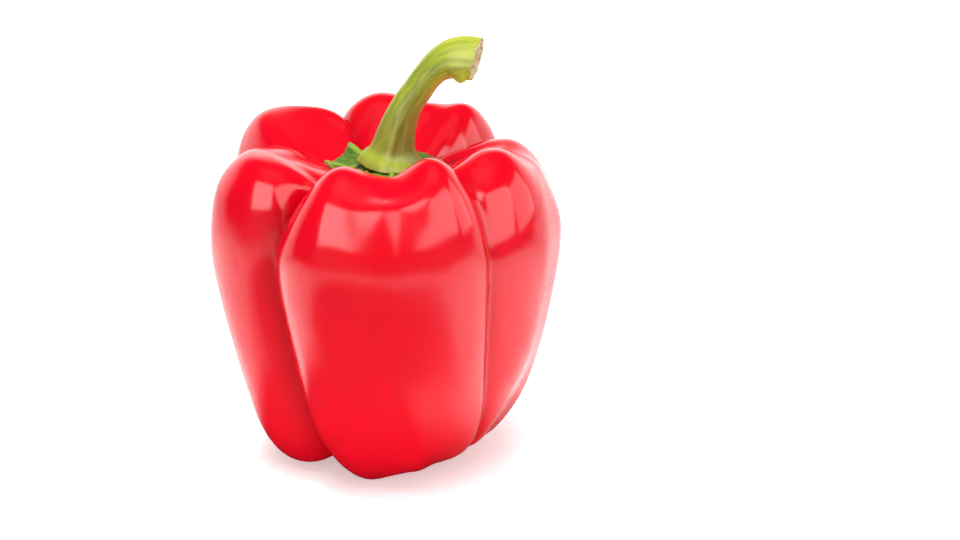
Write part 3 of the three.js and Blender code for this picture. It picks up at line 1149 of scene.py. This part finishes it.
@dataclass
class Studio:
    """The floor, the lights, the room and the camera.

    Attributes:
        elevation: how many degrees the camera looks down.
        distance: from the camera to its aim, in millimetres.
        lens: the camera's focal length in millimetres, on a 36 mm sensor.
        aim: the point that the camera looks at.
        floor_half: half the floor's side.
        shine: the lights that glossy things mirror, and that light nothing.
        fill: the lights that light things, and that nothing mirrors.
        room: the colour of the room round the pepper.
        backdrop: the colour of its lower far side.
        brightness: how bright the room is.
    """

    elevation: float = 21.0
    distance: float = 667.0
    lens: float = 100.0
    aim: Point = (23.75, 1.25, 48.3)
    floor_half: float = 900.0
    shine: tuple[Softbox, ...] = (
        Softbox("softbox_left", -25, 27, (0.87, 1.05), 7.5),
        Softbox("softbox_right", 38, 25.5, (1.17, 1.02), 5.2),
        Softbox("softbox_side", 88, 20, (0.87, 0.85), 3.8),
    )
    fill: tuple[Softbox | Spot, ...] = (
        Softbox("fill_left", -35, 20, (0.8, 0.6), 1.35),
        Softbox("fill_right", 45, 20, (0.8, 0.6), 2.2),
        Softbox("top_light", 0, 84, (0.9, 0.9), 7.4),
        Spot("floor_light_left", (-0.17, -0.03), 0.7, 26, 45),
        Spot("floor_light_right", (0.17, -0.07), 0.7, 24, 42),
        Spot("floor_light_front", (0, -0.14), 0.7, 24, 26),
        Spot("crown_light", (0, 0), 0.9, 10, 27),
    )
    room: str = "#4a4a4a"
    backdrop: str = "#ffffff"
    brightness: float = 1.8

    def camera(self, place: Placement) -> None:
        """Makes the camera, looking along +Y and down at the pepper."""
        tilt = math.radians(self.elevation)
        data = bpy.data.cameras.new("camera")
        data.lens = self.lens
        data.sensor_width = 36.0
        camera = bpy.data.objects.new("camera", data)
        back = np.array([0.0, -math.cos(tilt), math.sin(tilt)])
        camera.location = place.metres(np.array(self.aim) + back * self.distance)
        camera.rotation_euler = (math.pi / 2 - tilt, 0.0, 0.0)
        bpy.context.scene.collection.objects.link(camera)
        bpy.context.scene.camera = camera

    def floor(self) -> None:
        """Makes the paper floor, flat under the pepper and wider than the view."""
        half = self.floor_half * MM
        mesh = bpy.data.meshes.new("floor")
        corners = [(-half, -half, 0), (half, -half, 0), (half, half, 0), (-half, half, 0)]
        mesh.from_pydata(corners, [], [(0, 1, 2, 3)])
        floor = bpy.data.objects.new("floor", mesh)
        floor.data.materials.append(StudioPaper().material())
        bpy.context.scene.collection.objects.link(floor)

    def lights(self) -> None:
        """Makes the lights: some only for highlights, and the others only for lighting."""
        for light in self.shine:
            light.build().visible_diffuse = False
        for light in self.fill:
            light.build().visible_glossy = False

    def surroundings(self) -> None:
        """Makes the room: grey, with a white lower far side, and white where the camera sees it."""
        world = bpy.data.worlds.new("studio")
        world.use_nodes = True
        tree = world.node_tree
        tree.nodes.clear()
        direction = add_node(tree, "TexCoord", {}).outputs["Generated"]
        parts = add_node(tree, "SeparateXYZ", {0: direction}).outputs
        behind = add_node(tree, "MapRange", {**SMOOTH, 0: parts["Y"], 1: 0.1, 2: 0.5}).outputs[0]
        low = add_node(tree, "MapRange", {**SMOOTH, 0: parts["Z"], 1: 0.6, 2: 0.25}).outputs[0]
        share = add_node(tree, "Math", {"operation": "MULTIPLY", 0: behind, 1: low}).outputs[0]
        room = add_node(tree, "Mix", {**COLOURS, 0: share, 6: self.room, 7: self.backdrop}).outputs[2]
        seen = add_node(tree, "LightPath", {}).outputs["Is Camera Ray"]
        colour = add_node(tree, "Mix", {**COLOURS, 0: seen, 6: room, 7: WHITE}).outputs[2]
        background = add_node(tree, "Background", {"Strength": self.brightness, "Color": colour})
        add_node(tree, "OutputWorld", {"Surface": background.outputs[0]})
        bpy.context.scene.world = world
        bpy.context.scene.view_settings.view_transform = "Standard"


def main() -> None:
    """Builds the camera, the pepper's pieces and the studio."""
    logging.basicConfig(level=logging.INFO, format="%(name)s: %(message)s")
    fruit, calyx, stem, studio = Fruit(), Calyx(), Stem(), Studio()
    plain, crease = fruit.grid()
    place = Placement.from_fruit(plain, fruit.trim)
    studio.camera(place)
    fruit.build(place, fruit.uneven(plain), crease)
    calyx.build(place, fruit)
    stem.build(place)
    studio.floor()
    studio.lights()
    studio.surroundings()


if __name__ == "__main__":
    main()
